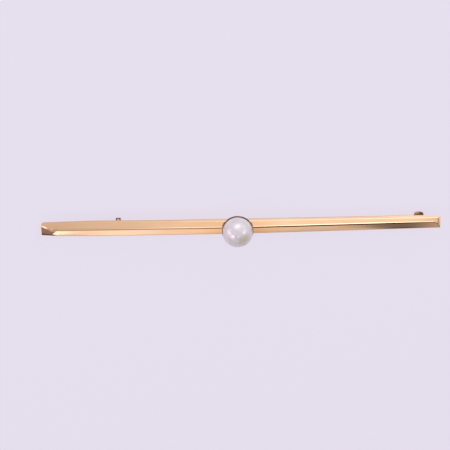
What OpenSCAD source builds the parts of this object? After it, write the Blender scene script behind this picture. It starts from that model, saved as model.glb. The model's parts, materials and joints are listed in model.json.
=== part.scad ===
// Gold bar brooch with one pearl. It lies on its back, on the catch and the hinge.
// X runs along the bar, Y across it, Z up through the pearl. The origin is on the
// resting plane, below the middle of the bar. All sizes are in millimetres.

/* [Bar] */
// Length of the bar from end to end
bar_length = 60; // [50:1:70]
// Width of the bar where it is widest, on the catch's side
bar_width = 2.52; // [2.4:0.02:2.8]
// Distance of the widest place from the catch end
widest_inset = 9; // [6:0.5:12]
// Width of the bar at its middle
middle_width = 2.26; // [2.2:0.02:2.34]
// Width of the bar at the hinge end
hinge_end_width = 2; // [1.9:0.02:2.1]
// Width of the bar at the catch end
catch_end_width = 2.08; // [1.98:0.02:2.2]
// How far the ends stand above the middle across the bar, because the bar is slightly bent
bar_bow = 0.2; // [0.1:0.05:0.3]
// Height of the bar's back above the resting plane
back_z = 2.15; // [2.05:0.05:2.4]
// How far both long edges are shifted towards the lower side
edge_shift = 0.06; // [0:0.01:0.08]
// Height of the ridge above the bar's back
ridge_height = 0.66; // [0.6:0.01:0.8]
// Distance of the ridge from the pearl's line, towards the upper edge
ridge_y = 0.09; // [0:0.01:0.12]
// Slope of the two long facets
facet_slope = 16; // [12:0.5:18]
// Width of the worn flat on the ridge
ridge_flat = 0.26; // [0.1:0.02:0.4]
// Length of the bevel across the hinge end
hinge_end_bevel = 0.8; // [0.4:0.1:2]
// Height of the bar's side at the hinge end
hinge_end_height = 0.35; // [0.3:0.05:0.5]
// Length of the lower facet that turns down to the catch end
catch_end_bevel = 1.35; // [0.4:0.05:2]
// Angle at which that facet turns down
catch_end_tilt = 10.5; // [4:0.5:14]
// Radius of the rounded upper corner at the catch end
round_corner = 0.42; // [0.2:0.02:0.6]
// Length of the other clipped corners
corner_clip = 0.12; // [0.06:0.02:0.3]

/* [Pearl and cup] */
// Diameter of the pearl
pearl_d = 4.51; // [4.2:0.01:4.6]
// Distance of the pearl from the middle of the bar, towards the hinge
pearl_x = -0.49; // [-1:0.01:1]
// Thickness of the cup's wall
cup_wall = 0.14; // [0.12:0.02:0.24]
// Room between the pearl and the cup
cup_room = 0.035; // [0.02:0.005:0.06]
// Depth to which the cup is let into the ridge
cup_sink = 0.42; // [0.3:0.01:0.46]
// Distance of the cup's rim below the pearl's widest line
cup_drop = 0.55; // [0.3:0.05:0.8]
// Diameter of the peg that carries the pearl
peg_d = 0.8; // [0.6:0.05:1]
// Height of the peg above the inside of the cup
peg_height = 1.6; // [1:0.1:2]

/* [Catch] */
// Distance of the catch from the end of the bar
catch_inset = 11.55; // [9:0.05:14]
// Width of the catch's strip
catch_width = 0.7; // [0.5:0.05:1]
// Thickness of the catch's strip
strip_t = 0.24; // [0.18:0.02:0.28]
// Place of the bend's centre across the bar
catch_y = 0.12; // [0:0.02:0.2]
// Length of the straight foot, from the bend to the lip
foot_length = 0.6; // [0.4:0.05:0.7]

/* [Hinge] */
// Distance of the rivet from the end of the bar
hinge_inset = 3.1; // [2.5:0.05:5]
// Place of the hinge's middle across the bar
hinge_y = 0.4; // [0.32:0.02:0.46]
// Radius of the ears, which is also the rivet's height
ear_r = 0.68; // [0.64:0.02:0.74]
// Thickness of one ear
ear_t = 0.33; // [0.28:0.01:0.4]
// Thickness of the pad that joins the ears to the bar
pad_t = 0.22; // [0.16:0.02:0.26]
// Thickness of the pin's flattened eye
eye_t = 0.5; // [0.4:0.02:0.56]
// Diameter of the rivet
rivet_d = 0.52; // [0.4:0.02:0.6]

/* [Pin] */
// Diameter of the pin's wire
wire_d = 0.7; // [0.6:0.02:0.74]
// Place of the wire's axis across the bar
wire_y = 0.27; // [0.22:0.01:0.32]
// Height of the wire's axis above the resting plane
wire_z = 0.64; // [0.62:0.01:0.76]
// Distance from the catch back to where the wire starts to taper
taper_start = 6.45; // [4:0.05:12]
// Length of the pin past the catch
tip_past_catch = 2.85; // [2:0.05:4]

/* [Hidden] */
$fn = 72;

gold = [0.92, 0.70, 0.42];
gold_wire = [0.86, 0.64, 0.38];
pearl_white = [0.92, 0.88, 0.87];

// Metal that is soldered together overlaps by this much
solder = 0.025;
// The catch's bend spans from the resting plane to the back of the bar
bend_r = (back_z + solder) / 2;
ridge_z = back_z + ridge_height;
// Each half of the bar turns by this angle about the middle
bow_angle = asin(bar_bow / (bar_length / 2));

pearl_r = pearl_d / 2;
cup_inner_r = pearl_r + cup_room;
cup_outer_r = cup_inner_r + cup_wall;
pearl_z = ridge_z - cup_sink + cup_outer_r;
peg_hole_r = peg_d / 2 + 0.03;

catch_x = -(bar_length / 2 - catch_inset);
lip_r = 0.4;
lip_angle = 50;

hinge_x = bar_length / 2 - hinge_inset;
hinge_z = ear_r;
eye_gap = 0.03;
hinge_half = eye_t / 2 + eye_gap + ear_t;
pad_margin = 0.1;
rivet_head_t = 0.09;
rivet_head_gap = 0.01;

wire_r = wire_d / 2;
eye_r = 0.6;
wire_start_x = hinge_x - 0.75;
taper_x = catch_x + taper_start;
point_x = catch_x - 1.25;
tip_x = catch_x - tip_past_catch;
point_r = 0.27;
tip_r = 0.04;

// Places a flat outline drawn in X and Z so that it is t thick along Y, from y
module upright(y, t) {
    translate([0, y + t, 0])
        rotate([90, 0, 0])
            linear_extrude(height = t)
                children();
}

// Places a flat outline drawn in Y and Z so that it is w wide along X, about x
module crosswise(x, w) {
    translate([x - w / 2, 0, 0])
        rotate([90, 0, 90])
            linear_extrude(height = w)
                children();
}

// The knife-edge section, drawn wider than the bar: a flat back, and two facets up to the ridge
module bar_section() {
    reach = bar_width / 2 + edge_shift + ridge_y;
    drop = (reach - ridge_flat / 2) * tan(facet_slope);
    translate([ridge_y, 0])
        polygon([
            [-reach, back_z],
            [reach, back_z],
            [reach, ridge_z - drop],
            [ridge_flat / 2, ridge_z],
            [-ridge_flat / 2, ridge_z],
            [-reach, ridge_z - drop],
        ]);
}

// The bar seen from above: filed by hand to taper both ways, with one corner rounded and three clipped
module bar_plan() {
    end = bar_length / 2;
    widest_x = widest_inset - end;
    wide = bar_width / 2;
    middle = middle_width / 2;
    hinge_side = hinge_end_width / 2;
    catch_side = catch_end_width / 2;
    corner = [round_corner - end, catch_side - round_corner];
    polygon([
        [widest_x, -wide],
        [0, -middle],
        [end - corner_clip, -hinge_side],
        [end, corner_clip - hinge_side],
        [end, hinge_side - corner_clip],
        [end - corner_clip, hinge_side],
        [0, middle],
        [widest_x, wide],
        for (a = [90:15:180]) corner + round_corner * [cos(a), sin(a)],
        [-end, corner_clip - catch_side],
        [corner_clip - end, -catch_side],
    ]);
}

// The bar seen from its side: the ridge slopes down at the hinge end
module bar_profile() {
    end = bar_length / 2;
    polygon([
        [-end - 1, back_z],
        [end, back_z],
        [end, back_z + hinge_end_height],
        [end - hinge_end_bevel, ridge_z],
        [-end - 1, ridge_z],
    ]);
}

// What is filed off the lower facet at the catch end: all above a plane that tilts down
module catch_end_cut() {
    translate([catch_end_bevel - bar_length / 2, ridge_y, ridge_z])
        rotate([facet_slope, 0, 0])
            rotate([0, -catch_end_tilt, 0])
                translate([-2 * bar_width, -2 * bar_width, 0])
                    cube([2 * bar_width, 4 * bar_width, bar_width]);
}

// The bar before it is bent
module straight_bar() {
    difference() {
        intersection() {
            crosswise(0, bar_length + 1)
                bar_section();
            translate([0, -edge_shift, back_z - 1])
                linear_extrude(height = 3)
                    bar_plan();
            upright(-bar_width, 2 * bar_width)
                bar_profile();
        }
        catch_end_cut();
    }
}

// One half of the bent bar, on side 1 with the hinge or on side -1 with the catch
module half_bar(side) {
    intersection() {
        rotate([0, 0, side * bow_angle])
            straight_bar();
        translate([(side - 1) / 2 * bar_length, -2 * bar_width, 0])
            cube([bar_length, 4 * bar_width, 2 * ridge_z]);
    }
}

// The bar, with a round seat filed into the ridge for the cup
module knife_edge_bar() {
    color(gold)
        difference() {
            union() {
                half_bar(-1);
                half_bar(1);
            }
            translate([pearl_x, 0, pearl_z])
                sphere(r = cup_inner_r + cup_wall / 2);
        }
}

// A thin round bowl, soldered into its seat, with its rim below the pearl's widest line
module pearl_cup() {
    color(gold)
        translate([pearl_x, 0, pearl_z])
            difference() {
                sphere(r = cup_outer_r);
                sphere(r = cup_inner_r);
                translate([0, 0, -cup_drop])
                    cylinder(r = 2 * cup_outer_r, h = 2 * cup_outer_r);
            }
}

// The post inside the cup, which goes up into the half-drilled pearl
module pearl_peg() {
    foot_z = pearl_z - cup_inner_r - cup_wall / 2;
    color(gold)
        translate([pearl_x, 0, foot_z])
            cylinder(r = peg_d / 2, h = peg_height + cup_wall / 2);
}

// Keeps the part of a flat ring from angle a to angle b, less than a half turn apart
module ring_part(outer, inner, a, b) {
    far = 3 * outer;
    intersection() {
        difference() {
            circle(r = outer);
            circle(r = inner);
        }
        polygon([
            [0, 0],
            [far * cos(a), far * sin(a)],
            [far * cos((a + b) / 2), far * sin((a + b) / 2)],
            [far * cos(b), far * sin(b)],
        ]);
    }
}

// A strip bent like a C that is open towards -Y, with its upper arm soldered to the bar
module c_catch() {
    foot_y = catch_y - foot_length;
    color(gold)
        crosswise(catch_x, catch_width)
            union() {
                translate([catch_y, bend_r])
                    intersection() {
                        difference() {
                            circle(r = bend_r);
                            circle(r = bend_r - strip_t);
                        }
                        translate([0, -2 * bend_r])
                            square([2 * bend_r, 4 * bend_r]);
                    }
                translate([foot_y, 0])
                    square([foot_length, strip_t]);
                translate([foot_y, 2 * bend_r - strip_t])
                    square([foot_length, strip_t]);
                translate([foot_y, lip_r])
                    ring_part(lip_r, lip_r - strip_t, -90 - lip_angle, -90);
            }
}

// One ear: round below, square where it meets the pad, with the rivet's hole
module hinge_ear(y) {
    upright(y, ear_t)
        difference() {
            union() {
                translate([hinge_x, hinge_z])
                    intersection() {
                        circle(r = ear_r);
                        translate([-2 * ear_r, -2 * ear_r])
                            square([4 * ear_r, 2 * ear_r]);
                    }
                translate([hinge_x - ear_r, hinge_z])
                    square([2 * ear_r, back_z + solder - hinge_z]);
            }
            translate([hinge_x, hinge_z])
                circle(r = rivet_d / 2 + 0.015);
        }
}

// Two ears on a pad, soldered to the back of the bar
module hinge_mount() {
    pad_x = ear_r + pad_margin;
    pad_y = hinge_half + pad_margin;
    color(gold) {
        hinge_ear(hinge_y - hinge_half);
        hinge_ear(hinge_y + hinge_half - ear_t);
        translate([hinge_x - pad_x, hinge_y - pad_y, back_z - pad_t])
            cube([2 * pad_x, 2 * pad_y, pad_t + solder]);
    }
}

// Bar, cup, peg, catch and hinge mount are soldered into one piece
module bar() {
    union() {
        knife_edge_bar();
        pearl_cup();
        pearl_peg();
        c_catch();
        hinge_mount();
    }
}

// A half-drilled pearl
module pearl() {
    hole_depth = peg_height + cup_room + 0.1;
    color(pearl_white)
        translate([pearl_x, 0, pearl_z])
            difference() {
                sphere(r = pearl_r);
                translate([0, 0, -pearl_r - 1])
                    cylinder(r = peg_hole_r, h = hole_depth + 1);
            }
}

// A length of the pin between two places on its axis, with a radius at each
module pin_length(from_x, to_x, from_r, to_r) {
    translate([from_x, wire_y, wire_z])
        rotate([0, -90, 0])
            cylinder(r1 = from_r, r2 = to_r, h = from_x - to_x);
}

// The pin: a flattened eye for the rivet, a round wire and a sharp point
module pin_stem() {
    neck_x = wire_start_x - 0.1;
    neck_bottom = wire_z - wire_r + 0.02;
    color(gold_wire)
        difference() {
            union() {
                translate([hinge_x, hinge_y + eye_t / 2, hinge_z])
                    rotate([90, 0, 0])
                        cylinder(r = eye_r, h = eye_t);
                translate([neck_x, hinge_y - eye_t / 2, neck_bottom])
                    cube([hinge_x - neck_x, eye_t, 2 * wire_r - 0.04]);
                pin_length(wire_start_x, taper_x, wire_r, wire_r);
                pin_length(taper_x, point_x, wire_r, point_r);
                pin_length(point_x, tip_x, point_r, tip_r);
            }
            translate([hinge_x, hinge_y + eye_t, hinge_z])
                rotate([90, 0, 0])
                    cylinder(r = rivet_d / 2 + 0.04, h = 2 * eye_t);
        }
}

// A cylinder along Y from y, with a radius at each end
module rivet_length(y, h, from_r, to_r) {
    translate([hinge_x, y, hinge_z])
        rotate([-90, 0, 0])
            cylinder(r1 = from_r, r2 = to_r, h = h);
}

// The rivet: a shank through both ears and the eye, with a low head on each side
module hinge_rivet() {
    face = hinge_half + rivet_head_gap;
    shank_r = rivet_d / 2;
    head_r = shank_r + 0.12;
    color(gold) {
        rivet_length(hinge_y - face - rivet_head_t / 2, 2 * face + rivet_head_t, shank_r, shank_r);
        rivet_length(hinge_y + face, rivet_head_t, head_r, shank_r);
        rivet_length(hinge_y - face - rivet_head_t, rivet_head_t, shank_r, head_r);
    }
}

bar();
pearl();
pin_stem();
hinge_rivet();
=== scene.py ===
# %% [markdown]
# # A gold bar brooch with one pearl
#
# The brooch is a slender gold bar with a knife edge along its face. One pearl sits in a half-round
# cup at its middle, and a pin swings from a hinge on its back and closes into a small hook.
# The construction is finished already, so this lesson only dresses it: it models each piece as a
# jeweller would make it, gives it its finish, and lights it. We load the construction first,
# because the main sizes and places below are taken from it.

# %% Load the construction
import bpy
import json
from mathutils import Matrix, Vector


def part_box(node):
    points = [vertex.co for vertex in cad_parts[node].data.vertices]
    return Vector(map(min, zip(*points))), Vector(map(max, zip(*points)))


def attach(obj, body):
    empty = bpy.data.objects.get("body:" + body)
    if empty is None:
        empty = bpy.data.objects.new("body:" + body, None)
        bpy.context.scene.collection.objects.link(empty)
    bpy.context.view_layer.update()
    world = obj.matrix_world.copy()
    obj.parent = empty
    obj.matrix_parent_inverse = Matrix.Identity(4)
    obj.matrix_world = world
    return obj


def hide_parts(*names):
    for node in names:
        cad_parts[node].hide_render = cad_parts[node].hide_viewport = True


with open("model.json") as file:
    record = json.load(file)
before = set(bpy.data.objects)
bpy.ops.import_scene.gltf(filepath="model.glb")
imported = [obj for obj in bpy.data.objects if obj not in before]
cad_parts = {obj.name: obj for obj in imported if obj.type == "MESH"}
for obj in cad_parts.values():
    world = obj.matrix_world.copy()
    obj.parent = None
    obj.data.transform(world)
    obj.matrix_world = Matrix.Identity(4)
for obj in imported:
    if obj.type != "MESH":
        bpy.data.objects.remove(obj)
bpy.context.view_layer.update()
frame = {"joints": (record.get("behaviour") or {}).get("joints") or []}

import json
import math

import bmesh
import bpy
from mathutils import Matrix, Vector

# %% [markdown]
# ## The sizes that steer everything
#
# Many of Blender's tools round off at a tenth of a millimetre when a scene is in metres, and a
# tenth of a millimetre is a visible step on a brooch. So each piece is modelled with one unit for
# one millimetre, and is brought to metres when it is finished. The frame is in metres, so its
# boxes are turned into millimetres here.

# %% Read the main places in millimetres
MM = 0.001


def box_mm(node):
    """The lowest and highest corner of a node of the construction, in millimetres."""
    low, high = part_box(node)
    return low / MM, high / MM


bar_high = box_mm("bar")[1]
pearl_low, pearl_high = box_mm("pearl")
pin_low = box_mm("pin_stem")[0]
hinge = Vector(frame["joints"][0]["pos_m"]) / MM
pearl_radius = round((pearl_high.x - pearl_low.x) / 2, 3)
pearl_centre = Vector(((pearl_low.x + pearl_high.x) / 2, 0, pearl_high.z - pearl_radius))
print("The bar ends at", round(bar_high.x, 2), "and the pearl of radius", pearl_radius,
      "is at", [round(v, 3) for v in pearl_centre])

# %% [markdown]
# ## The camera
#
# The brooch lies on its back, and the camera looks down at its face from 20 degrees towards its
# upper edge. A long lens from about 35 cm away keeps a small thing from looking stretched. The
# camera is rolled by one degree, and the bar stands a little right of the middle of the picture.
# The camera comes first, because the reflections in polished gold depend on where it stands.

# %% Place the camera
VIEW_TILT = math.radians(20)
VIEW_ROLL = math.radians(1.07)
VIEW_DISTANCE = 350
VIEW_WIDTH = 67.7
BAR_HEIGHT = 2.325
BAR_IN_PICTURE = Vector((2.37, -0.2))
SENSOR_WIDTH = 36
NEAREST_SEEN, FARTHEST_SEEN = 0.01, 10

toward_camera = Vector((0, math.sin(VIEW_TILT), math.cos(VIEW_TILT)))
level_right = Vector((1, 0, 0))
level_up = toward_camera.cross(level_right)
camera_right = level_right * math.cos(VIEW_ROLL) - level_up * math.sin(VIEW_ROLL)
camera_up = level_up * math.cos(VIEW_ROLL) + level_right * math.sin(VIEW_ROLL)
bar_middle = Vector((0, 0, BAR_HEIGHT))
aim = bar_middle - camera_right * BAR_IN_PICTURE.x - camera_up * BAR_IN_PICTURE.y

camera_data = bpy.data.cameras.new("camera")
camera_data.sensor_width = SENSOR_WIDTH
camera_data.lens = SENSOR_WIDTH * VIEW_DISTANCE / VIEW_WIDTH
camera_data.clip_start = NEAREST_SEEN
camera_data.clip_end = FARTHEST_SEEN
camera = bpy.data.objects.new("camera", camera_data)
bpy.context.scene.collection.objects.link(camera)
bpy.context.scene.camera = camera
turn = Matrix((camera_right, camera_up, toward_camera)).transposed().to_4x4()
camera.matrix_world = Matrix.Translation((aim + toward_camera * VIEW_DISTANCE) * MM) @ turn
print("Lens", round(camera_data.lens, 1), "mm, camera at", [round(v, 3) for v in camera.location], "m")

# %% [markdown]
# ## Helpers for working by hand
#
# Each piece starts as a primitive and is shaped in edit mode. Blender's operators act on all that
# is selected, so these helpers make one piece the only selected one, and pick its points, edges or
# faces by where they are or which way they face.

# %% Helpers to start a piece and pick its parts
TOUCHING = 0.001


def begin(name):
    """Names the primitive that was just added, puts its size and place in its mesh, and edits it."""
    piece = bpy.context.object
    piece.name = name
    piece.data.name = name
    bpy.ops.object.transform_apply(location=True, rotation=True, scale=True)
    bpy.ops.object.mode_set(mode="EDIT")
    return piece


def pick(piece, kind, wanted):
    """Selects only the verts, edges or faces for which wanted(element) is true."""
    bpy.ops.mesh.select_mode(type={"verts": "VERT", "edges": "EDGE", "faces": "FACE"}[kind])
    bpy.ops.mesh.select_all(action="DESELECT")
    mesh = bmesh.from_edit_mesh(piece.data)
    mesh.normal_update()
    for chosen in [element for element in getattr(mesh, kind) if wanted(element)]:
        chosen.select_set(True)
    mesh.select_flush_mode()
    bmesh.update_edit_mesh(piece.data)


def file_flat(point, outwards):
    """Files off all that stands outside a plane, and closes the cut."""
    bpy.ops.mesh.select_all(action="SELECT")
    bpy.ops.mesh.bisect(
        plane_co=point, plane_no=Vector(outwards).normalized(),
        use_fill=True, clear_outer=True, threshold=1e-5,
    )


def faces_towards(face, direction, within=5):
    """True if a face looks in a direction, within so many degrees."""
    return face.normal.angle(Vector(direction), math.pi) < math.radians(within)


# %% Helpers to finish a piece


def select_only(piece):
    """Makes one piece the only selected one, and the active one."""
    bpy.ops.object.select_all(action="DESELECT")
    piece.select_set(True)
    bpy.context.view_layer.objects.active = piece


def modify(piece, kind, **settings):
    """Adds a modifier with these settings and applies it."""
    modifier = piece.modifiers.new(kind.title(), kind)
    for name, value in settings.items():
        setattr(modifier, name, value)
    bpy.context.view_layer.objects.active = piece
    bpy.ops.object.modifier_apply(modifier=modifier.name)


def break_edges(piece, width, segments, angle=50, **more):
    """Rounds the edges of a piece at which it turns by more than an angle."""
    modify(piece, "BEVEL", limit_method="ANGLE", angle_limit=math.radians(angle),
           width=width, segments=segments, **more)


def combine(piece, operation):
    """Cuts the primitive that was just added out of a piece, or joins it on, and removes it."""
    tool = bpy.context.object
    bpy.ops.object.transform_apply(location=True, rotation=True, scale=True)
    modify(piece, "BOOLEAN", object=tool, operation=operation, solver="EXACT")
    bpy.data.objects.remove(tool)


def smooth(piece, angle=40):
    """Shades a piece smoothly, with creases only where it turns by more than an angle."""
    select_only(piece)
    bpy.ops.object.shade_smooth_by_angle(angle=math.radians(angle))


def finish_piece(piece, body, node):
    """Brings a piece from millimetres to metres, and lets it ride on its body in place of its node."""
    select_only(piece)
    piece.scale = (MM, MM, MM)
    bpy.ops.object.transform_apply(location=True, rotation=True, scale=True)
    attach(piece, body)
    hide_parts(node)
    mesh = bmesh.new()
    mesh.from_mesh(piece.data)
    open_edges = sum(not edge.is_manifold for edge in mesh.edges)
    volume = mesh.calc_volume() / MM**3
    mesh.free()
    size = [round(side / MM, 2) for side in piece.dimensions]
    print(piece.name, "is", size, "mm,", len(piece.data.polygons), "faces,",
          open_edges, "open edges,", round(volume, 2), "cubic mm")


# %% [markdown]
# ## The bar
#
# A jeweller files a knife-edge bar from a flat strip: two long facets run up to a narrow ridge, and
# both ends are bevelled. So we start with a block and file it with planes, in the same order.
# The outline is widest 9 mm in from the catch end, and is filed in three straight lengths on each
# side. Buffing leaves each long facet slightly fuller along its middle, so that its reflection
# fades across it. We file each facet with two planes that differ by two degrees. The bevel at the
# hinge end is filed in two slopes too.

# %% Sizes of the bar
HALF_LENGTH = 30
BLOCK_WIDTH = 3
BACK_Z = 2.15
RIDGE_Z = 2.81
RIDGE_HALF = 0.13
RIDGE_Y = 0.075
RIDGE_SKEW = 0.004
FACET_SLOPES = (15, 17)
CROWN_OFFSETS = {1: 0.5, -1: 0.62}
PLAN = ((-30, 1.04), (-21, 1.26), (0, 1.13), (30, 1.0))
EDGE_SHIFT = 0.06
HINGE_BEVEL = 0.8
HINGE_END_Z = BACK_Z + 0.35
HINGE_BEVEL_SLOPES = (12, 32)


def sloping(degrees, side):
    """The outward direction of a long facet that slopes down to one side, square to the ridge's line."""
    down = side * math.sin(math.radians(degrees))
    return Vector((-RIDGE_SKEW * down, down, math.cos(math.radians(degrees)))).normalized()


def beside_ridge(side, offset):
    """The point of a long facet at the bar's middle, so far out from the ridge's edge."""
    drop = offset * math.tan(math.radians(FACET_SLOPES[0]))
    return Vector((0, RIDGE_Y + side * (RIDGE_HALF + offset), RIDGE_Z - drop))


def flanks(side):
    """A corner and the outward direction of each straight length of the outline, on one side."""
    corners = [Vector((x, side * half - EDGE_SHIFT, 0)) for x, half in PLAN]
    directions = [
        Vector((from_half - to_half, side * (to_x - from_x), 0))
        for (from_x, from_half), (to_x, to_half) in zip(PLAN, PLAN[1:])
    ]
    return list(zip(corners, directions))


print("The ridge is", round(RIDGE_Z - BACK_Z, 2), "mm above the back, and", RIDGE_Y,
      "mm off the pearl's line")

# %% File the block to a knife-edge bar
bpy.ops.mesh.primitive_cube_add(size=1, location=(0, 0, (BACK_Z + RIDGE_Z) / 2))
bpy.context.object.scale = (2 * HALF_LENGTH, BLOCK_WIDTH, RIDGE_Z - BACK_Z)
bar_body = begin("bar_body")
for side in (1, -1):
    for slope, offset in zip(FACET_SLOPES, (0, CROWN_OFFSETS[side])):
        file_flat(beside_ridge(side, offset), sloping(slope, side))
    for corner, flank in flanks(side):
        file_flat(corner, flank)
bevel_foot = Vector((HALF_LENGTH, 0, HINGE_END_Z))
bevel_top = Vector((HALF_LENGTH - HINGE_BEVEL, 0, RIDGE_Z))
bevel_slopes = [
    Vector((math.sin(math.radians(a)), 0, math.cos(math.radians(a)))) for a in HINGE_BEVEL_SLOPES
]
file_flat(bevel_top, bevel_slopes[0])
file_flat(bevel_foot, bevel_slopes[1])
print("Filed, the bar has", len(bmesh.from_edit_mesh(bar_body.data).faces), "faces")

# %% [markdown]
# The catch end was finished by eye. Its bevel lies on the lower facet alone. A narrow flat breaks
# the hip between it and the upper facet, a blunt stroke of the file lies beside it on the long
# facet, and a steeper stroke runs along its lower edge. Then the end's upper corner is rounded off.
# On polished gold these small faces count for more than their size, because each of them turns
# another part of the room into view. We file them with planes as well, one plane for each stroke.

# %% Turn down the lower facet at the catch end
CATCH_BEVEL = 1.35
CATCH_TILT = 10.5
HIP_DEPTH = 0.022
FACET_FALL = 0.268
BLUNT_FROM = Vector((-27.7, -0.175, RIDGE_Z))
BLUNT_TO = Vector((-28.55, -1.05, RIDGE_Z - 0.875 * FACET_FALL))
BLUNT_TILT = 5
LOW_STROKE_AT = Vector((-29.3, -0.72, 0))
LOW_STROKE_TILT = 8
ROUND_CORNER = 0.42


def on_plane(place, point, outwards):
    """The point straight above or below a place on the plane through a point that looks outwards."""
    drop = (place - point).xy.dot(outwards.xy) / outwards.z
    return Vector((place.x, place.y, point.z - drop))


def at_upper_corner(edge):
    """True for an edge that runs straight up at the upper corner of the catch end."""
    foot, head = (vert.co for vert in edge.verts)
    upright = abs(head.z - foot.z) > 0.2 and (head - foot).xy.length < TOUCHING
    return upright and foot.x < 1 - HALF_LENGTH and foot.y > 0


catch_roll = Matrix.Rotation(math.radians(sum(FACET_SLOPES) / 2), 3, "X")
catch_dip = Matrix.Rotation(-math.radians(CATCH_TILT), 3, "Y")
catch_facet = catch_roll @ catch_dip @ Vector((0, 0, 1))
catch_top = Vector((CATCH_BEVEL - HALF_LENGTH, RIDGE_Y - RIDGE_SKEW * HALF_LENGTH, RIDGE_Z))
file_flat(catch_top, catch_facet)
low_from = on_plane(LOW_STROKE_AT, catch_top, catch_facet)
low_stroke = Matrix.Rotation(math.radians(LOW_STROKE_TILT), 3, "X") @ catch_facet
file_flat(low_from, low_stroke)
hip = (catch_facet + sloping(FACET_SLOPES[0], 1)).normalized()
file_flat(catch_top - HIP_DEPTH * hip, hip)
blunt_line = (BLUNT_TO - BLUNT_FROM).normalized()
blunt = Matrix.Rotation(math.radians(BLUNT_TILT), 3, blunt_line) @ sloping(FACET_SLOPES[0], -1)
file_flat(BLUNT_FROM, blunt)
print("The blunt stroke tilts towards the end:", blunt.x < 0)
pick(bar_body, "edges", at_upper_corner)
bpy.ops.mesh.bevel(offset=ROUND_CORNER, segments=8, affect="EDGES")
print("The bar now has", len(bmesh.from_edit_mesh(bar_body.data).faces), "faces")

# %% [markdown]
# Real edges are never sharp: polishing wears them round, and each rounding catches a thin line of
# light or dark. The long edges are the most worn, and the ridge's lower edge more than its upper
# one. A long edge is rounded as it is on the bench, with light strokes of the file at a slowly
# turning angle. Each stroke is a plane that touches a rod lying inside the edge.

# %% Wear the long edges round
RIDGE_ROUNDS = {1: 0.55, -1: 1.1}
SIDE_ROUNDS = {1: 0.38, -1: 0.3}
BEVEL_ROUND = 0.7
CATCH_ROUND = 0.15


def file_round(edge_point, first, second, radius, strokes):
    """Files the edge between two planes round, to a rod of this radius."""
    rod = edge_point - radius * (first + second) / (1 + first.dot(second))
    for stroke in range(1, strokes + 1):
        outwards = first.slerp(second, stroke / (strokes + 1))
        file_flat(rod + radius * outwards, outwards)


for side in (1, -1):
    inner, outer = (sloping(slope, side) for slope in FACET_SLOPES)
    file_round(beside_ridge(side, 0), Vector((0, 0, 1)), inner, RIDGE_ROUNDS[side], strokes=5)
    for corner, flank in flanks(side):
        edge_point = on_plane(corner, beside_ridge(side, CROWN_OFFSETS[side]), outer)
        file_round(edge_point, outer, flank.normalized(), SIDE_ROUNDS[side], strokes=8)
catch_end = on_plane(Vector((-HALF_LENGTH, -PLAN[0][1] - EDGE_SHIFT, 0)), low_from, low_stroke)
file_round(catch_end, low_stroke, Vector((0, -1, 0)), CATCH_ROUND, strokes=4)
gentle, steep = (math.tan(math.radians(slope)) for slope in HINGE_BEVEL_SLOPES)
gentle_length = (HINGE_BEVEL * steep - (RIDGE_Z - HINGE_END_Z)) / (steep - gentle)
bevel_break = bevel_top + Vector((gentle_length, 0, -gentle_length * gentle))
file_round(bevel_break, *bevel_slopes, BEVEL_ROUND, strokes=3)
print("With its long edges rounded the bar has", len(bmesh.from_edit_mesh(bar_body.data).faces), "faces")

# %% [markdown]
# This old bar is slightly bent at its middle, under the pearl, so that both ends stand a fifth of a
# millimetre higher as it is worn. We cut it through at the middle, without taking anything away,
# and turn each half. Four more such cuts, beside the end bevels and the cup, change no shape. They
# keep the smooth shading of the long facets apart from that of the small faces beyond them. The
# filing leaves crumbs, faces narrower than a hundredth of a millimetre, which are merged away. The
# short edges at the ends and the back's edges are only broken a little, with one narrow bevel.

# %% Bend the bar and break its short edges
BOW = 0.2
CRUMB = 0.01
EDGE_WEAR = 0.05
WORN_ANGLE = 17
END_ZONE = 0.3
BESIDE_CUP = 2.6
SUPPORT_CUTS = (-27.3, pearl_centre.x - BESIDE_CUP, pearl_centre.x + BESIDE_CUP, 28.8)
bow_angle = math.asin(BOW / HALF_LENGTH)
for place in (0, *SUPPORT_CUTS):
    bpy.ops.mesh.select_all(action="SELECT")
    bpy.ops.mesh.bisect(plane_co=(place, 0, 0), plane_no=(1, 0, 0))
for side in (1, -1):
    pick(bar_body, "verts", lambda vert: side * vert.co.x > TOUCHING)
    bpy.ops.transform.rotate(value=-side * bow_angle, orient_axis="Z", center_override=(0, 0, 0))
bpy.ops.mesh.select_all(action="SELECT")
bpy.ops.mesh.remove_doubles(threshold=CRUMB)
bpy.ops.mesh.dissolve_degenerate(threshold=CRUMB)
bpy.ops.object.mode_set(mode="OBJECT")
for side in (1, -1):
    across = [v.co.y for v in bar_body.data.vertices if side * v.co.x > HALF_LENGTH - END_ZONE]
    print("The end at", side * HALF_LENGTH, "lies from", round(min(across), 2), "to", round(max(across), 2))
break_edges(bar_body, EDGE_WEAR, 3, angle=WORN_ANGLE, use_clamp_overlap=False)
print("With its short edges broken the bar has", len(bar_body.data.polygons), "faces, and is",
      [round(side, 2) for side in bar_body.dimensions], "mm")

# %% [markdown]
# The cup needs a round seat in the ridge, which a ball-shaped burr cuts. A boolean with a ball of
# the middle size of the cup's wall does the same. Then weighted normals let the broad facets decide
# the shading, so that they reflect as flat faces and only the worn edges bend the light.

# %% Cut the seat of the cup
CUP_WALL = 0.14
CUP_ROOM = 0.035
BALL_SEGMENTS = 96
CUP_RINGS = 48
cup_inner = pearl_radius + CUP_ROOM
cup_outer = cup_inner + CUP_WALL
bpy.ops.mesh.primitive_uv_sphere_add(
    segments=BALL_SEGMENTS, ring_count=CUP_RINGS, radius=cup_inner + CUP_WALL / 2, location=pearl_centre
)
combine(bar_body, "DIFFERENCE")
select_only(bar_body)
bpy.ops.object.shade_smooth()
modify(bar_body, "WEIGHTED_NORMAL", weight=50, keep_sharp=False)
finish_piece(bar_body, "brooch", "bar")

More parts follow.
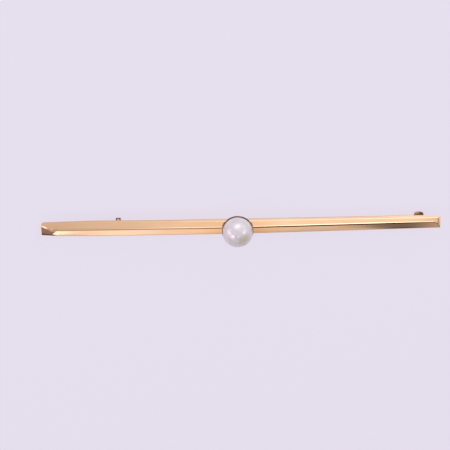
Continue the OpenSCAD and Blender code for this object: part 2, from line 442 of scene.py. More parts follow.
# %% [markdown]
# ## The pearl cup
#
# The cup is raised from thin sheet: a round bowl with an even wall, whose rim is burnished smooth
# and stays below the pearl's widest line. It stands a little sunk in the ridge, where it is soldered.
# We cut a sphere, give it a wall, and round the rim.

# %% Model the cup
RIM_DROP = 0.55
RIM_ROUND = 0.05
bpy.ops.mesh.primitive_uv_sphere_add(
    segments=BALL_SEGMENTS, ring_count=CUP_RINGS, radius=cup_outer, location=pearl_centre
)
pearl_cup = begin("pearl_cup")
bpy.ops.mesh.select_all(action="SELECT")
bpy.ops.mesh.bisect(
    plane_co=pearl_centre - Vector((0, 0, RIM_DROP)), plane_no=(0, 0, 1), use_fill=False,
    clear_outer=True, threshold=1e-4,
)
bpy.ops.object.mode_set(mode="OBJECT")
modify(pearl_cup, "SOLIDIFY", thickness=CUP_WALL, offset=-1, use_rim=True, use_even_offset=True)
break_edges(pearl_cup, RIM_ROUND, 4, angle=60)
smooth(pearl_cup, 50)
finish_piece(pearl_cup, "brooch", "bar")

# %% [markdown]
# The cup alone wouldn't hold the pearl. A short peg is soldered upright in it and goes up into the
# pearl's drilled hole. It is a plain rod with a rounded top.

# %% Model the peg
PEG_RADIUS = 0.4
PEG_HEIGHT = 1.6
PEG_ROUND = 0.12
peg_foot = pearl_centre.z - cup_inner - CUP_WALL / 2
peg_top = pearl_centre.z - cup_inner + PEG_HEIGHT
bpy.ops.mesh.primitive_cylinder_add(
    vertices=32, radius=PEG_RADIUS, depth=peg_top - peg_foot,
    location=(pearl_centre.x, 0, (peg_top + peg_foot) / 2),
)
pearl_peg = begin("pearl_peg")
pick(pearl_peg, "faces", lambda face: faces_towards(face, (0, 0, 1)))
bpy.ops.mesh.bevel(offset=PEG_ROUND, segments=3, affect="EDGES")
bpy.ops.object.mode_set(mode="OBJECT")
smooth(pearl_peg)
finish_piece(pearl_peg, "brooch", "bar")

# %% [markdown]
# ## The pearl
#
# A pearl is never a perfect ball. It is modelled as a fine sphere that swells and dips by a
# hundredth of a millimetre or so, with the hole for its peg drilled from below. The hole is made
# by sinking the faces around the lower pole.

# %% Model the pearl
PEARL_RINGS = 64
PEG_HOLE = PEG_RADIUS + 0.03
HOLE_TOP = peg_top + 0.1
SWELL_HEIGHT = 0.03
SWELL_WIDTH = 1.5
SWELL_MIDDLE = 0.55
bpy.ops.mesh.primitive_uv_sphere_add(
    segments=BALL_SEGMENTS, ring_count=PEARL_RINGS, radius=pearl_radius, location=pearl_centre
)
pearl_body = begin("pearl_body")


def under_the_peg(face):
    """True for the faces of the pearl that the drill takes away."""
    middle = face.calc_center_median()
    return middle.z < pearl_centre.z and (middle.xy - pearl_centre.xy).length < PEG_HOLE


pick(pearl_body, "faces", under_the_peg)
bpy.ops.mesh.delete(type="FACE")
pick(pearl_body, "edges", lambda edge: edge.is_boundary)
rim = [v for v in bmesh.from_edit_mesh(pearl_body.data).verts if v.select]
to_size = PEG_HOLE / max((v.co.xy - pearl_centre.xy).length for v in rim)
bpy.ops.transform.resize(value=(to_size, to_size, 1), center_override=pearl_centre)
hole_foot = min(v.co.z for v in bmesh.from_edit_mesh(pearl_body.data).verts if v.select)
bpy.ops.mesh.extrude_region_move(TRANSFORM_OT_translate={"value": (0, 0, HOLE_TOP - hole_foot)})
bpy.ops.mesh.edge_face_add()
bpy.ops.object.mode_set(mode="OBJECT")
smooth(pearl_body)
swell = bpy.data.textures.new("pearl_swell", "CLOUDS")
swell.noise_scale = SWELL_WIDTH
modify(pearl_body, "DISPLACE", texture=swell, texture_coords="LOCAL", strength=SWELL_HEIGHT,
       mid_level=SWELL_MIDDLE)
finish_piece(pearl_body, "brooch", "pearl")

# %% [markdown]
# ## The catch
#
# The catch is a flat strip bent round like a letter C, open towards the lower edge, with its upper
# arm soldered to the back of the bar. Its mouth turns up in a small lip. We draw the strip's
# end as a small rectangle and pull it round the bends with spin, as the strip runs round a jig.

# %% Bend the catch
CATCH_X = -18.45
CATCH_Y = 0.12
CATCH_WIDTH = 0.7
STRIP = 0.24
STRIP_ROUND = 0.09
SOLDER = 0.025
FOOT_LENGTH = 0.6
LIP_RADIUS = 0.4
LIP_ANGLE = math.radians(50)
bend_radius = (BACK_Z + SOLDER) / 2
lip_middle = (CATCH_X, CATCH_Y - FOOT_LENGTH, LIP_RADIUS)
bpy.ops.mesh.primitive_plane_add(
    size=1, location=(CATCH_X, CATCH_Y - FOOT_LENGTH, 2 * bend_radius - STRIP / 2),
    rotation=(math.radians(90), 0, 0),
)
bpy.context.object.scale = (CATCH_WIDTH, STRIP, 1)
catch = begin("catch")
bpy.ops.mesh.select_all(action="SELECT")
bpy.ops.mesh.extrude_region_move(TRANSFORM_OT_translate={"value": (0, FOOT_LENGTH, 0)})
bpy.ops.mesh.spin(steps=20, angle=math.pi, center=(CATCH_X, CATCH_Y, bend_radius), axis=(1, 0, 0))
bpy.ops.mesh.extrude_region_move(TRANSFORM_OT_translate={"value": (0, -FOOT_LENGTH, 0)})
bpy.ops.mesh.spin(steps=8, angle=LIP_ANGLE, center=lip_middle, axis=(1, 0, 0))
bpy.ops.mesh.select_all(action="SELECT")
bpy.ops.mesh.remove_doubles(threshold=TOUCHING)
bpy.ops.mesh.normals_make_consistent(inside=False)
bpy.ops.object.mode_set(mode="OBJECT")
break_edges(catch, STRIP_ROUND, 4)
smooth(catch, 50)
finish_piece(catch, "brooch", "bar")

# %% [markdown]
# ## The hinge mount
#
# Two ears stand on a small pad that is soldered to the back of the bar. Each ear is a block whose
# lower end is filed half-round about the rivet, and drilled for it. Beveling two edges by almost
# the ear's whole radius gives the half-round, and a boolean with a rod drills the hole.

# %% Model the ears and the pad
EAR_RADIUS = round(hinge.z, 3)
EAR_THICK = 0.33
EAR_SEAM = 0.004
EDGE_BREAK = 0.03
EYE_THICK = 0.5
EYE_GAP = 0.03
PAD_THICK = 0.22
PAD_MARGIN = 0.1
PAD_ROUND = 0.05
RIVET_RADIUS = 0.26
EAR_ROOM = 0.015
DRILL_LENGTH = 4
ear_from = EYE_THICK / 2 + EYE_GAP
hinge_half = ear_from + EAR_THICK


def drill(piece, radius):
    """Drills a hole for the rivet through a piece."""
    bpy.ops.mesh.primitive_cylinder_add(
        vertices=48, radius=radius, depth=DRILL_LENGTH, location=hinge, rotation=(math.radians(90), 0, 0)
    )
    combine(piece, "DIFFERENCE")


def at_the_foot(edge):
    """True for the two edges that run across an ear at its lower end."""
    start, end = (vert.co for vert in edge.verts)
    return max(start.z, end.z) < EYE_GAP and abs(start.x - end.x) < EYE_GAP


def ear(name, middle_y):
    """One ear of the hinge: a block with a half-round foot and a drilled hole."""
    top = BACK_Z + SOLDER
    bpy.ops.mesh.primitive_cube_add(size=1, location=(hinge.x, middle_y, top / 2))
    bpy.context.object.scale = (2 * EAR_RADIUS, EAR_THICK, top)
    piece = begin(name)
    pick(piece, "edges", at_the_foot)
    bpy.ops.mesh.bevel(offset=EAR_RADIUS * 0.999, segments=14, affect="EDGES", clamp_overlap=False)
    bpy.ops.mesh.select_all(action="SELECT")
    bpy.ops.mesh.remove_doubles(threshold=EAR_SEAM)
    bpy.ops.object.mode_set(mode="OBJECT")
    drill(piece, RIVET_RADIUS + EAR_ROOM)
    break_edges(piece, EDGE_BREAK, 2)
    smooth(piece)
    finish_piece(piece, "brooch", "bar")
    return piece


ear_upper = ear("hinge_ear_upper", hinge.y + ear_from + EAR_THICK / 2)
ear_lower = ear("hinge_ear_lower", hinge.y - ear_from - EAR_THICK / 2)

bpy.ops.mesh.primitive_cube_add(size=1, location=(hinge.x, hinge.y, BACK_Z - (PAD_THICK - SOLDER) / 2))
bpy.context.object.scale = (
    2 * (EAR_RADIUS + PAD_MARGIN), 2 * (hinge_half + PAD_MARGIN), PAD_THICK + SOLDER
)
hinge_pad = begin("hinge_pad")
bpy.ops.object.mode_set(mode="OBJECT")
break_edges(hinge_pad, PAD_ROUND, 3)
smooth(hinge_pad)
finish_piece(hinge_pad, "brooch", "bar")

# %% [markdown]
# ## The pin
#
# The pin is drawn wire, springy and a little duller than the bar. Its end is hammered flat into an
# eye for the rivet, and the other end is ground to a long point. The wire is a rod whose end
# faces are pulled out and scaled step by step, so the taper and the flattened neck stay smooth.
# Over its last 6 mm the wire bends towards the bar's upper edge, to meet the hinge squarely.

# %% Sizes of the pin
WIRE_RADIUS = 0.35
WIRE_Y = 0.27
WIRE_Z = 0.64
EYE_RADIUS = 0.6
NECK_LENGTH = 0.75
BENT_LENGTH = 6
TAPER_BEFORE_CATCH = 6.45
POINT_PAST_CATCH = 1.25
POINT_RADIUS = 0.27
TIP_RADIUS = 0.04
neck_from = hinge.x - NECK_LENGTH
wire_from = neck_from - BENT_LENGTH
taper_from = CATCH_X + TAPER_BEFORE_CATCH
point_from = CATCH_X - POINT_PAST_CATCH
tip_x = round(pin_low.x, 3)
print("The pin's tip is at", tip_x, "and its straight wire is", round(wire_from - taper_from, 1), "mm long")

# %% Draw the wire and its point
POINT_STEPS = 6
POINT_FULLNESS = 0.9
TIP_END = 0.03
TIP_SHRINK = 0.4
bpy.ops.mesh.primitive_cylinder_add(
    vertices=40, radius=WIRE_RADIUS, depth=wire_from - taper_from,
    location=((wire_from + taper_from) / 2, WIRE_Y, WIRE_Z), rotation=(0, math.radians(90), 0),
)
pin = begin("pin_stem_wire")


def pull(move, width, height, about_y=WIRE_Y):
    """Pulls the picked end face out, and scales it in Y and Z about the wire's axis."""
    bpy.ops.mesh.extrude_region_move(TRANSFORM_OT_translate={"value": move})
    bpy.ops.transform.resize(value=(1, width, height), center_override=(0, about_y, WIRE_Z))


pick(pin, "faces", lambda face: faces_towards(face, (-1, 0, 0)))
pull((point_from - taper_from, 0, 0), POINT_RADIUS / WIRE_RADIUS, POINT_RADIUS / WIRE_RADIUS)
radius = POINT_RADIUS
for step in range(1, POINT_STEPS + 1):
    wanted = TIP_RADIUS + (POINT_RADIUS - TIP_RADIUS) * (1 - step / POINT_STEPS) ** POINT_FULLNESS
    pull(((tip_x + TIP_END - point_from) / POINT_STEPS, 0, 0), wanted / radius, wanted / radius)
    radius = wanted
pull((-TIP_END, 0, 0), TIP_SHRINK, TIP_SHRINK)
print("The point narrows from", WIRE_RADIUS, "to", TIP_RADIUS, "mm in radius")

# %% [markdown]
# The end at the hinge is hammered thin enough to turn between the two ears. A disc joined to it
# with a boolean becomes the eye, which is drilled a little wider than the rivet.

# %% Bend the wire, hammer its neck flat and add the eye
NECK_BEND = 0.02
NECK_START, NECK_REST = 0.25, 0.5
NECK_SWELL = 1.16
NECK_THIN = 0.97
EYE_ROOM = 0.04


def pick_neck():
    """Picks the end face of the wire that looks towards the hinge."""
    pick(pin, "faces", lambda face: faces_towards(face, (1, 0, 0)))


pick_neck()
bpy.ops.mesh.extrude_region_move(
    TRANSFORM_OT_translate={"value": (BENT_LENGTH, hinge.y - WIRE_Y - NECK_BEND, 0)}
)
pick_neck()
pull((NECK_START, NECK_BEND, 0), EYE_THICK / (2 * WIRE_RADIUS) * NECK_SWELL, NECK_THIN, hinge.y)
pick_neck()
pull((NECK_REST, 0, 0), 1 / NECK_SWELL, NECK_THIN, hinge.y)
bpy.ops.object.mode_set(mode="OBJECT")
bpy.ops.mesh.primitive_cylinder_add(
    vertices=64, radius=EYE_RADIUS, depth=EYE_THICK, location=hinge, rotation=(math.radians(90), 0, 0)
)
combine(pin, "UNION")
drill(pin, RIVET_RADIUS + EYE_ROOM)
break_edges(pin, EDGE_BREAK, 2, angle=60)
smooth(pin)
finish_piece(pin, "pin", "pin_stem")

# %% [markdown]
# ## The rivet
#
# The rivet is a short rod whose ends are spread with a hammer into two low heads. Each head is
# pulled out of the rod's end face and rounded, and the second end is done in the same way.

# %% Model the rivet
HEAD_RADIUS = 0.33
HEAD_THICK = 0.09
HEAD_GAP = 0.01
HEAD_STEPS = ((0, HEAD_RADIUS / RIVET_RADIUS), (0.3, 0.96), (0.4, 0.84), (0.3, 0.6))
head_from = hinge_half + HEAD_GAP
bpy.ops.mesh.primitive_cylinder_add(
    vertices=40, radius=RIVET_RADIUS, depth=2 * head_from, location=hinge, rotation=(math.radians(90), 0, 0)
)
rivet = begin("hinge_rivet_rod")
centre = (hinge.x, 0, hinge.z)
for side in (1, -1):
    pick(rivet, "faces", lambda face: faces_towards(face, (0, side, 0))
         and side * (face.calc_center_median().y - hinge.y) > head_from - HEAD_GAP)
    for share, grow in HEAD_STEPS:
        out = side * share * HEAD_THICK
        bpy.ops.mesh.extrude_region_move(TRANSFORM_OT_translate={"value": (0, out, 0)})
        bpy.ops.transform.resize(value=(grow, 1, grow), center_override=centre)
bpy.ops.object.mode_set(mode="OBJECT")
smooth(rivet, 45)
finish_piece(rivet, "brooch", "hinge_rivet")

# %% [markdown]
# ## The gold
#
# The bar is an old rosy gold, polished by hand and worn. Polishing leaves a very slight wave in the
# surface and fine lines along the bar, so the reflections wander a little. Metal has no
# colour of its own but that of its reflection, so the colour hardly changes and the roughness does.
#
# The cup, the catch, and the hinge's ears with their rivet get painted shade: their gold is
# darkened in soft blotches where shade and dark reflections fall, the cup towards its rim beside
# the pearl, the catch towards its foot and along its strip's sides, and the hinge upwards from the
# rivet, towards the bar's back, and towards the bar's end. The edge tint of the catch and the hinge
# is browned as well, so that the painted shade also dims the shine that metal has at a low angle.

# %% Helpers for materials


def new_material(name):
    """A new material, with its nodes, its links and its surface shader."""
    material = bpy.data.materials.new(name)
    material.use_nodes = True
    nodes = material.node_tree.nodes
    return material, nodes, material.node_tree.links, nodes["Principled BSDF"]


def grain(nodes, links, stretch, scale, detail=3):
    """A noise pattern on the piece's own millimetres, stretched by so much along X, Y and Z."""
    place = nodes.new("ShaderNodeTexCoord")
    mapping = nodes.new("ShaderNodeMapping")
    mapping.inputs["Scale"].default_value = [1 / MM / s for s in stretch]
    noise = nodes.new("ShaderNodeTexNoise")
    noise.inputs["Scale"].default_value = scale
    noise.inputs["Detail"].default_value = detail
    links.new(place.outputs["Object"], mapping.inputs["Vector"])
    links.new(mapping.outputs["Vector"], noise.inputs["Vector"])
    return noise.outputs["Fac"]


def between(nodes, links, value, low, high, from_low=0.3, from_high=0.7):
    """Maps a pattern to a range of values."""
    mapped = nodes.new("ShaderNodeMapRange")
    mapped.inputs["From Min"].default_value = from_low
    mapped.inputs["From Max"].default_value = from_high
    mapped.inputs["To Min"].default_value = low
    mapped.inputs["To Max"].default_value = high
    links.new(value, mapped.inputs["Value"])
    return mapped.outputs["Result"]


def bump(nodes, links, height, microns, before=None):
    """Raises a surface by a pattern, up to so many thousandths of a millimetre."""
    node = nodes.new("ShaderNodeBump")
    node.inputs["Distance"].default_value = microns * 1e-6
    links.new(height, node.inputs["Height"])
    if before is not None:
        links.new(before, node.inputs["Normal"])
    return node.outputs["Normal"]


def blend_colours(nodes, links, share, first, second):
    """Mixes two colours by a pattern. The first can be another node's colour."""
    mix = nodes.new("ShaderNodeMix")
    mix.data_type = "RGBA"
    if isinstance(first, tuple):
        mix.inputs["A"].default_value = (*first, 1)
    else:
        links.new(first, mix.inputs["A"])
    mix.inputs["B"].default_value = (*second, 1)
    links.new(share, mix.inputs["Factor"])
    return mix.outputs["Result"]


def compute(nodes, links, operation, first, second=None):
    """Does a sum with a math node. The first value is a pattern, and the second a pattern or a number."""
    node = nodes.new("ShaderNodeMath")
    node.operation = operation
    links.new(first, node.inputs[0])
    if isinstance(second, float):
        node.inputs[1].default_value = second
    elif second is not None:
        links.new(second, node.inputs[1])
    return node.outputs["Value"]


# %% [markdown]
# All the golds share one recipe. The bar's is the smoothest, the drawn wire's is the dullest, and
# those of the soldered pieces lie in between.

# %% Make the gold
ROSY_GOLD = (0.93, 0.59, 0.38)
DEEP_GOLD = (0.90, 0.55, 0.33)
WIRE_GOLD = (0.86, 0.6, 0.36)
DEEP_WIRE_GOLD = (0.78, 0.5, 0.27)
# Painted shade: the brown blended into the gold of the cup, the catch and the hinge where shade falls.
SHADE_BROWN = (0.12, 0.07, 0.05)
SHADED_EDGE_TINT = (0.55, 0.4, 0.3, 1)


def gold_finish(name, bright, deep, rough, wave, lines):
    """A polished gold with hand-made unevenness: a slow wave and fine lines along X, in microns."""
    material, nodes, links, shader = new_material(name)
    shader.inputs["Metallic"].default_value = 1
    tone = between(nodes, links, grain(nodes, links, (4, 1, 1), 0.8), 0, 1)
    links.new(blend_colours(nodes, links, tone, bright, deep), shader.inputs["Base Color"])
    rub = grain(nodes, links, (6, 0.35, 0.35), 1.2, 5)
    links.new(between(nodes, links, rub, *rough), shader.inputs["Roughness"])
    slow = bump(nodes, links, grain(nodes, links, (5, 1.5, 1.5), 0.6, 1), wave)
    fine = bump(nodes, links, grain(nodes, links, (3, 0.08, 0.08), 1.0, 4), lines, slow)
    links.new(fine, shader.inputs["Normal"])
    return material


def paint_shade(material, unshaded, dark, most, beside=None):
    """Paints shade on a gold in soft blotches, as far as a share, from an unshaded height to a dark one.

    Beside a place along the bar it goes by the distance from that place instead."""
    nodes, links = material.node_tree.nodes, material.node_tree.links
    colour = nodes["Principled BSDF"].inputs["Base Color"]
    place = nodes.new("ShaderNodeTexCoord")
    split = nodes.new("ShaderNodeSeparateXYZ")
    links.new(place.outputs["Object"], split.inputs["Vector"])
    way = split.outputs["Z"]
    if beside is not None:
        away = compute(nodes, links, "SUBTRACT", split.outputs["X"], beside * MM)
        way = compute(nodes, links, "ABSOLUTE", away)
    reach = between(nodes, links, way, 0, 1, unshaded * MM, dark * MM)
    blotches = between(nodes, links, grain(nodes, links, (1, 1, 1), 1.8, 2), 0.8 * most, most, 0.35, 0.6)
    share = compute(nodes, links, "MULTIPLY", reach, blotches)
    links.new(blend_colours(nodes, links, share, colour.links[0].from_socket, SHADE_BROWN), colour)


gold = gold_finish("polished_gold", ROSY_GOLD, DEEP_GOLD, (0.05, 0.1), wave=12, lines=0.15)
wire_gold = gold_finish("drawn_wire_gold", WIRE_GOLD, DEEP_WIRE_GOLD, (0.2, 0.32), wave=3, lines=0.6)
cup_gold = gold_finish("cup_gold", ROSY_GOLD, DEEP_GOLD, (0.08, 0.14), wave=6, lines=0.15)
# Painted shade on the cup towards its rim beside the pearl, on the hinge towards the bar's back and its far
# side, and on the catch towards its foot and along its sides.
rim_z = pearl_centre.z - RIM_DROP
paint_shade(cup_gold, unshaded=rim_z - 0.8, dark=rim_z - 0.3, most=0.95)
soldered_gold = gold_finish("soldered_gold", ROSY_GOLD, DEEP_GOLD, (0.15, 0.3), wave=6, lines=0.3)
paint_shade(soldered_gold, unshaded=0.4, dark=1.0, most=0.82)
paint_shade(soldered_gold, unshaded=0.55, dark=0.95, most=0.97, beside=hinge.x - 0.75)
catch_gold = gold_finish("catch_gold", ROSY_GOLD, DEEP_GOLD, (0.15, 0.3), wave=6, lines=0.3)
paint_shade(catch_gold, unshaded=1.4, dark=1.15, most=0.9)
paint_shade(catch_gold, unshaded=0.13, dark=0.26, most=0.95, beside=CATCH_X)
# The browned edge tint is painted shade as well: it dims the low-angle shine of the catch and the hinge.
for material in (soldered_gold, catch_gold):
    material.node_tree.nodes["Principled BSDF"].inputs["Specular Tint"].default_value = SHADED_EDGE_TINT
for material, pieces in (
    (gold, (bar_body, hinge_pad)), (cup_gold, (pearl_cup, pearl_peg)), (catch_gold, (catch,)),
    (soldered_gold, (ear_upper, ear_lower, rivet)), (wire_gold, (pin,)),
):
    for piece in pieces:
        piece.data.materials.append(material)
    print(material.name, "is on", [piece.name for piece in pieces])

# %% [markdown]
# ## The pearl's nacre
#
# Nacre is thousands of clear layers over each other. Light goes a little way in and comes out soft,
# and the layers give a silky second shine with a breath of colour. So the shader has some
# subsurface scattering, a wide soft gloss, a clear coat and a thin film. Its tone varies a little at
# random, and a browner patch towards the hinge and the bar's lower edge is painted shade.

# %% Make the nacre
BODY_TONES = ((0.665, 0.6, 0.645), (0.615, 0.56, 0.58))
# Painted shade: the pearl is painted browner on its lower right, towards the hinge and the bar's lower
# edge.
SHADE_TONE = (0.60, 0.52, 0.44)
SHADED_SIDE = Vector((0.50, -0.34, 0.80)).normalized()
SHADE_FROM, SHADE_TO = 0.85, 0.94
nacre, nodes, links, shader = new_material("nacre")
cloudy = between(nodes, links, grain(nodes, links, (1.6, 1.6, 1.6), 0.9, 2), 0, 1)
place = nodes.new("ShaderNodeTexCoord")
toward_shade = nodes.new("ShaderNodeVectorMath")
toward_shade.operation = "DOT_PRODUCT"
toward_shade.inputs[1].default_value = SHADED_SIDE
links.new(place.outputs["Object"], toward_shade.inputs[0])
from_middle = pearl_centre.dot(SHADED_SIDE)
shade_share = between(nodes, links, toward_shade.outputs["Value"], 0, 1,
               (from_middle + SHADE_FROM * pearl_radius) * MM, (from_middle + SHADE_TO * pearl_radius) * MM)
body_tone = blend_colours(nodes, links, cloudy, *BODY_TONES)
links.new(blend_colours(nodes, links, shade_share, body_tone, SHADE_TONE), shader.inputs["Base Color"])
shader.inputs["Subsurface Weight"].default_value = 0.2
shader.inputs["Subsurface Radius"].default_value = (0.9, 0.7, 0.6)
shader.inputs["Subsurface Scale"].default_value = 0.4 * MM
shader.inputs["Roughness"].default_value = 0.38
shader.inputs["Coat Weight"].default_value = 1
shader.inputs["Coat IOR"].default_value = 1.8
shader.inputs["Coat Roughness"].default_value = 0.3
shader.inputs["Thin Film Thickness"].default_value = 330
shader.inputs["Thin Film IOR"].default_value = 1.6
links.new(bump(nodes, links, grain(nodes, links, (0.9, 0.9, 0.9), 0.9, 2), 5), shader.inputs["Normal"])
pearl_body.data.materials.append(nacre)
print("Nacre is on", pearl_body.name)

# %% [markdown]
# ## The floor
#
# The brooch lies on a plain pale lavender board. The board shines evenly by itself for the most
# part, as an overexposed white backdrop does in a light tent, and takes only a faint shadow.
# It is clear from below, so that a camera under it still sees the brooch's back.

# %% Lay the floor
FLOOR_COLOUR = (0.79, 0.735, 0.845)
FLOOR_GLOW = 0.9
FLOOR_TAKES = 0.12
FLOOR_SIZE = 6
FLOOR_DROP = 0.00002
bpy.ops.mesh.primitive_plane_add(size=FLOOR_SIZE, location=(0, 0, -FLOOR_DROP))
floor = bpy.context.object
floor.name = "floor"
board, nodes, links, shader = new_material("lavender_board")
shader.inputs["Base Color"].default_value = (*(FLOOR_TAKES * c for c in FLOOR_COLOUR), 1)
shader.inputs["Roughness"].default_value = 1
shader.inputs["Specular IOR Level"].default_value = 0
shader.inputs["Emission Color"].default_value = (*FLOOR_COLOUR, 1)
shader.inputs["Emission Strength"].default_value = FLOOR_GLOW
side_seen = nodes.new("ShaderNodeNewGeometry")
clear = nodes.new("ShaderNodeBsdfTransparent")
one_sided = nodes.new("ShaderNodeMixShader")
links.new(side_seen.outputs["Backfacing"], one_sided.inputs["Fac"])
links.new(shader.outputs["BSDF"], one_sided.inputs[1])
links.new(clear.outputs["BSDF"], one_sided.inputs[2])
links.new(one_sided.outputs["Shader"], nodes["Material Output"].inputs["Surface"])
floor.data.materials.append(board)
print("The board is solid from above and clear from below")

# %% [markdown]
# ## The light
#
# Polished gold shows only what stands around it, so the brooch is lit by its surroundings. Each of
# the bar's narrow faces looks another way and shows another card. From the back to the front there
# are two diffusers behind for the rounded upper edge, a wide one overhead for the upper facet, a
# soft gap, a bright strip for the ridge, a dark gap that draws the line below it, a front board for
# the lower facet, and a dark card low down for the lower edge. The front board has two rows, because
# the lower facet's two slopes show different parts of it, and it is dark in front of the hinge.
#
# A card glows by itself, and its brightness changes along the bar by stops. Each stop is a place
# on the bar in millimetres, a brightness and a warmth. On the card it stands further out by
# SPREAD, because the camera's lines of sight spread on after they meet the bar. All cards are at
# the same distance, and the camera doesn't see them.

# %% Set up the cards
CARD_DISTANCE = 150
CARD_LENGTH = 1000
SPREAD = 1 + CARD_DISTANCE / VIEW_DISTANCE
WARMTH = (0, 0.08, 0.2)


def glow_along(name, stops, length, spread=1):
    """A glow that changes along X. A stop is a place, a brightness, and a warmth from -1 to 1 or a tint."""
    material = bpy.data.materials.new(name)
    material.use_nodes = True
    nodes, links = material.node_tree.nodes, material.node_tree.links
    nodes.clear()
    where = nodes.new("ShaderNodeTexCoord")
    split = nodes.new("ShaderNodeSeparateXYZ")
    along = nodes.new("ShaderNodeMapRange")
    along.inputs["From Min"].default_value = -length * MM / 2
    along.inputs["From Max"].default_value = length * MM / 2
    ramp = nodes.new("ShaderNodeValToRGB")
    brightest = max(level for _, level, _ in stops)
    while len(ramp.color_ramp.elements) < len(stops):
        ramp.color_ramp.elements.new(0.5)
    for element, (x, level, warmth) in zip(ramp.color_ramp.elements, stops):
        element.position = 0.5 + x * spread / length
        tint = warmth if isinstance(warmth, tuple) else [1 - share * warmth for share in WARMTH]
        element.color = (*(c * level / brightest for c in tint), 1)
    glow = nodes.new("ShaderNodeEmission")
    glow.inputs["Strength"].default_value = brightest
    output = nodes.new("ShaderNodeOutputMaterial")
    links.new(where.outputs["Object"], split.inputs["Vector"])
    links.new(split.outputs["X"], along.inputs["Value"])
    links.new(along.outputs["Result"], ramp.inputs["Fac"])
    links.new(ramp.outputs["Color"], glow.inputs["Color"])
    links.new(glow.outputs["Emission"], output.inputs["Surface"])
    return material


def hang(name, size, place, tilt, material):
    """Hangs a glowing sheet that only reflections and the light on the brooch show."""
    bpy.ops.mesh.primitive_plane_add(size=1, location=place * MM, rotation=(tilt, 0, 0))
    sheet = bpy.context.object
    sheet.name = name
    sheet.scale = (size[0] * MM, size[1] * MM, 1)
    bpy.ops.object.transform_apply(location=True, rotation=True, scale=True)
    sheet.data.materials.append(material)
    sheet.visible_camera = False
    sheet.visible_shadow = False
    return sheet


def card(name, angles, stops):
    """A glowing card between two angles from straight up, positive towards the bar's lower edge."""
    low, high = (math.radians(a) for a in angles)
    width = 2 * CARD_DISTANCE * math.tan((high - low) / 2)
    middle = (low + high) / 2
    place = Vector((0, -math.sin(middle), math.cos(middle))) * CARD_DISTANCE + bar_middle
    hang(name, (CARD_LENGTH, width), place, middle, glow_along(name, stops, CARD_LENGTH, SPREAD))
    print(name, "spans", angles, "degrees")


# %% Hang the cards for the upper facet and the ridge
ROSY = (1, 0.82, 0.9)
card("low_back_diffuser", (-130, -75), [
    (-28, 0.75, 0), (-10, 0.95, -0.4), (6, 1.4, -0.7), (26, 1.5, -0.9),
])
card("back_diffuser", (-75, -40), [
    (-28, 0.75, 0), (-10, 0.95, -0.2), (6, 1.35, -0.6), (26, 1.5, -0.7),
])
card("overhead_diffuser", (-40, 4), [
    (-28, 0.72, 0), (-22, 0.79, 0), (-13.6, 0.84, 0), (-9.5, 0.95, -0.2), (-5, 0.96, 0.5),
    (3.2, 1.0, 0.4), (6.5, 1.18, 0), (15, 1.06, 0), (21, 1.1, 0), (26, 1.12, -0.3), (29, 0.84, 0),
])
card("soft_gap", (4, 11), [(-28, 0.5, 0), (-13, 0.5, 0), (6, 0.55, 0), (26, 0.6, 0)])
card("ridge_strip", (11, 24), [
    (-60, 3.2, -0.6), (-47.5, 3.2, -0.6), (-41.5, 0.8, 0), (-28, 0.7, 0), (-20, 0.8, 0),
    (-13, 1.1, -0.8), (-9, 1.5, -0.8), (3, 1.6, -0.6), (9, 2.2, -0.8), (22, 2.6, -0.8),
    (29, 1.6, -0.5), (70, 1.0, 0), (150, 0.8, 0),
])
card("dark_gap", (24, 47), [
    (-30, 0.55, 0), (-8, 0.5, 0), (-4, 0.35, ROSY), (3, 0.16, ROSY), (8, 0.06, ROSY),
    (24, 0.05, ROSY), (26.5, 0.04, ROSY), (27.6, 0.25, 0), (29, 0.4, 0), (50, 0.12, 0),
    (170, 0.12, 0), (205, 0.9, 0), (250, 1.0, 0),
])

# %% [markdown]
# The front board is brightest before the catch end, a little warm before the pearl, and dark before
# the hinge. So the lower facet shades off along the bar, as it does in a room with things in it.

# %% Hang the cards for the lower facet and the edges
FAR_START = [(-60, 0.32, ROSY), (-50, 0.3, ROSY), (-47, 0.12, 0.5), (-41, 0.12, 0.5)]
UPPER_START = [
    (-36, 0.6, 0), (-32, 1.9, 0), (-28.3, 1.9, -0.8), (-27.1, 1.95, -1), (-26.2, 1.4, -1),
    (-25.3, 1.08, -0.6), (-24.3, 1.02, -0.3),
]
LOWER_START = [
    (-36, 0.5, 0), (-32, 1.3, -0.5), (-28.3, 1.3, -0.8), (-27.1, 0.95, -1), (-26.2, 0.78, -1.4),
    (-25.3, 0.73, -1.4), (-24.3, 0.92, -0.8),
]
MIDDLE_STOPS = [
    (-23, 1.02, -0.2), (-20, 1.22, -0.5), (-15, 1.22, -0.4), (-10.5, 1.0, -0.2), (-7, 1.06, 0.2),
    (-4, 1.04, 0.8), (3.2, 0.72, 1.6), (4.5, 0.85, 1.2), (6.5, 0.95, 0.6), (9, 0.84, 0.1),
    (12, 0.8, -0.4), (15, 0.74, 0),
]
UPPER_END = [
    (16.5, 0.69, 0), (18, 0.68, 0), (19.8, 0.43, -0.3), (21.6, 0.25, -0.5), (24.6, 0.18, -0.5),
    (27, 0.13, 0.5), (28.5, 0.48, 0),
]
LOWER_END = [
    (18, 0.78, 0), (20.5, 0.74, 0), (22.5, 0.34, -0.3), (24, 0.09, -0.5), (25.8, 0.0, 0),
    (27, 0.02, 0.5), (28.5, 0.52, 0),
]
DIMMED_FROM = -6
LOWER_SHARE = 0.87
lower_middle = [
    (x, level * (1 if x < DIMMED_FROM else LOWER_SHARE), warmth) for x, level, warmth in MIDDLE_STOPS
]
card("front_board_upper", (47, 52), FAR_START + UPPER_START + MIDDLE_STOPS + UPPER_END)
card("front_board_lower", (52, 60), FAR_START + LOWER_START + lower_middle + LOWER_END)
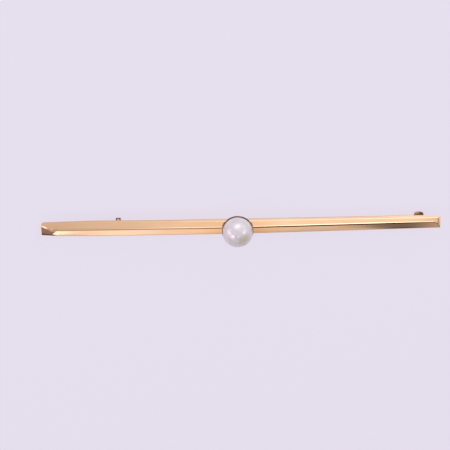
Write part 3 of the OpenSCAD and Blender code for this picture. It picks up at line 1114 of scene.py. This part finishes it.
card("low_dark", (60, 80), [
    (-60, 0.13, 0.8), (-28, 0.13, 1), (-26.5, 0.4, 0), (20, 0.3, 0), (24, 0.1, 0.5),
    (27, 0.1, 0.5), (29, 0.3, 0),
])

# %% [markdown]
# The side of the bar's upper edge shows the floor just behind the brooch. A sheet of paper laid
# there gives it a tone of its own. It is left out of the soft light that falls on rough things.

# %% Lay the paper
PAPER_SIZE = (72, 80)
PAPER_MIDDLE = Vector((0, 41.25, 0.02))
paper_glow = glow_along("back_paper", [
    (-36, 0.68, 0), (-12, 0.75, 0), (-6, 0.85, -0.4), (6, 0.95, -0.7), (21, 1.0, -0.7),
    (25, 1.15, -0.7), (29, 1.05, -0.4),
], PAPER_SIZE[0])
paper = hang("back_paper", PAPER_SIZE, PAPER_MIDDLE, 0, paper_glow)
paper.visible_diffuse = False
print("The paper starts", PAPER_MIDDLE.y - PAPER_SIZE[1] / 2, "mm behind the bar's middle line")

# %% [markdown]
# Soft lamps round the tent make the pearl's highlights: a large one high beyond the upper edge
# with a smaller one beside it, one to the right, one to the left and one low on the left. They are
# linked to the pearl alone, because on the gold's narrow edges they would only make stray sparks.
# They show in its gloss, and only the left one lights its body too. The rest of the tent is a pale
# wall.

# %% Hang the lamps
LAMP_DISTANCE = 120
ROSY_LIGHT = (1, 0.86, 0.95)
WARM_ROSY_LIGHT = (1, 0.88, 0.93)
WALL_COLOUR = (0.79, 0.75, 0.84, 1)
pearl_only = bpy.data.collections.new("pearl_only")
pearl_only.objects.link(pearl_body)


def lamp(name, direction, size, strength, colour=(1, 1, 1)):
    """A round soft lamp in a direction from the pearl, as bright as a card of the same strength."""
    data = bpy.data.lights.new(name, "AREA")
    data.shape = "DISK"
    data.size = size * MM
    data.color = colour
    disk_area = math.pi * (size * MM / 2) ** 2
    data.energy = strength * math.pi * disk_area
    light = bpy.data.objects.new(name, data)
    bpy.context.scene.collection.objects.link(light)
    light.light_linking.receiver_collection = pearl_only
    light.visible_diffuse = False
    way = Vector(direction).normalized()
    facing = way.to_track_quat("Z", "Y").to_matrix().to_4x4()
    light.matrix_world = Matrix.Translation((pearl_centre + way * LAMP_DISTANCE) * MM) @ facing
    return light


lamp("upper_lamp", (-0.10, 0.90, 0.43), size=60, strength=4.8)
lamp("upper_right_lamp", (0.30, 0.92, 0.25), size=30, strength=4)
lamp("right_lamp", (0.777, 0.215, 0.591), size=30, strength=12, colour=ROSY_LIGHT)
left_lamp = lamp("left_lamp", (-0.93, 0.124, 0.34), size=30, strength=9.5, colour=WARM_ROSY_LIGHT)
left_lamp.visible_diffuse = True
lamp("lower_left_lamp", (-0.594, -0.321, 0.736), size=30, strength=9, colour=ROSY_LIGHT)
print("The lamps are", [light.name for light in bpy.data.lights])

world = bpy.data.worlds.new("tent")
bpy.context.scene.world = world
world.use_nodes = True
world.node_tree.nodes["Background"].inputs["Color"].default_value = WALL_COLOUR
world.node_tree.nodes["Background"].inputs["Strength"].default_value = 1

# %% [markdown]
# ## Developing the picture
#
# The plain view transform shows the light as a camera with a neutral curve does, and lets the
# brightest reflections burn out to cream, as they do in a bright product photograph.

# %% Set the view transform
bpy.context.scene.view_settings.view_transform = "Standard"
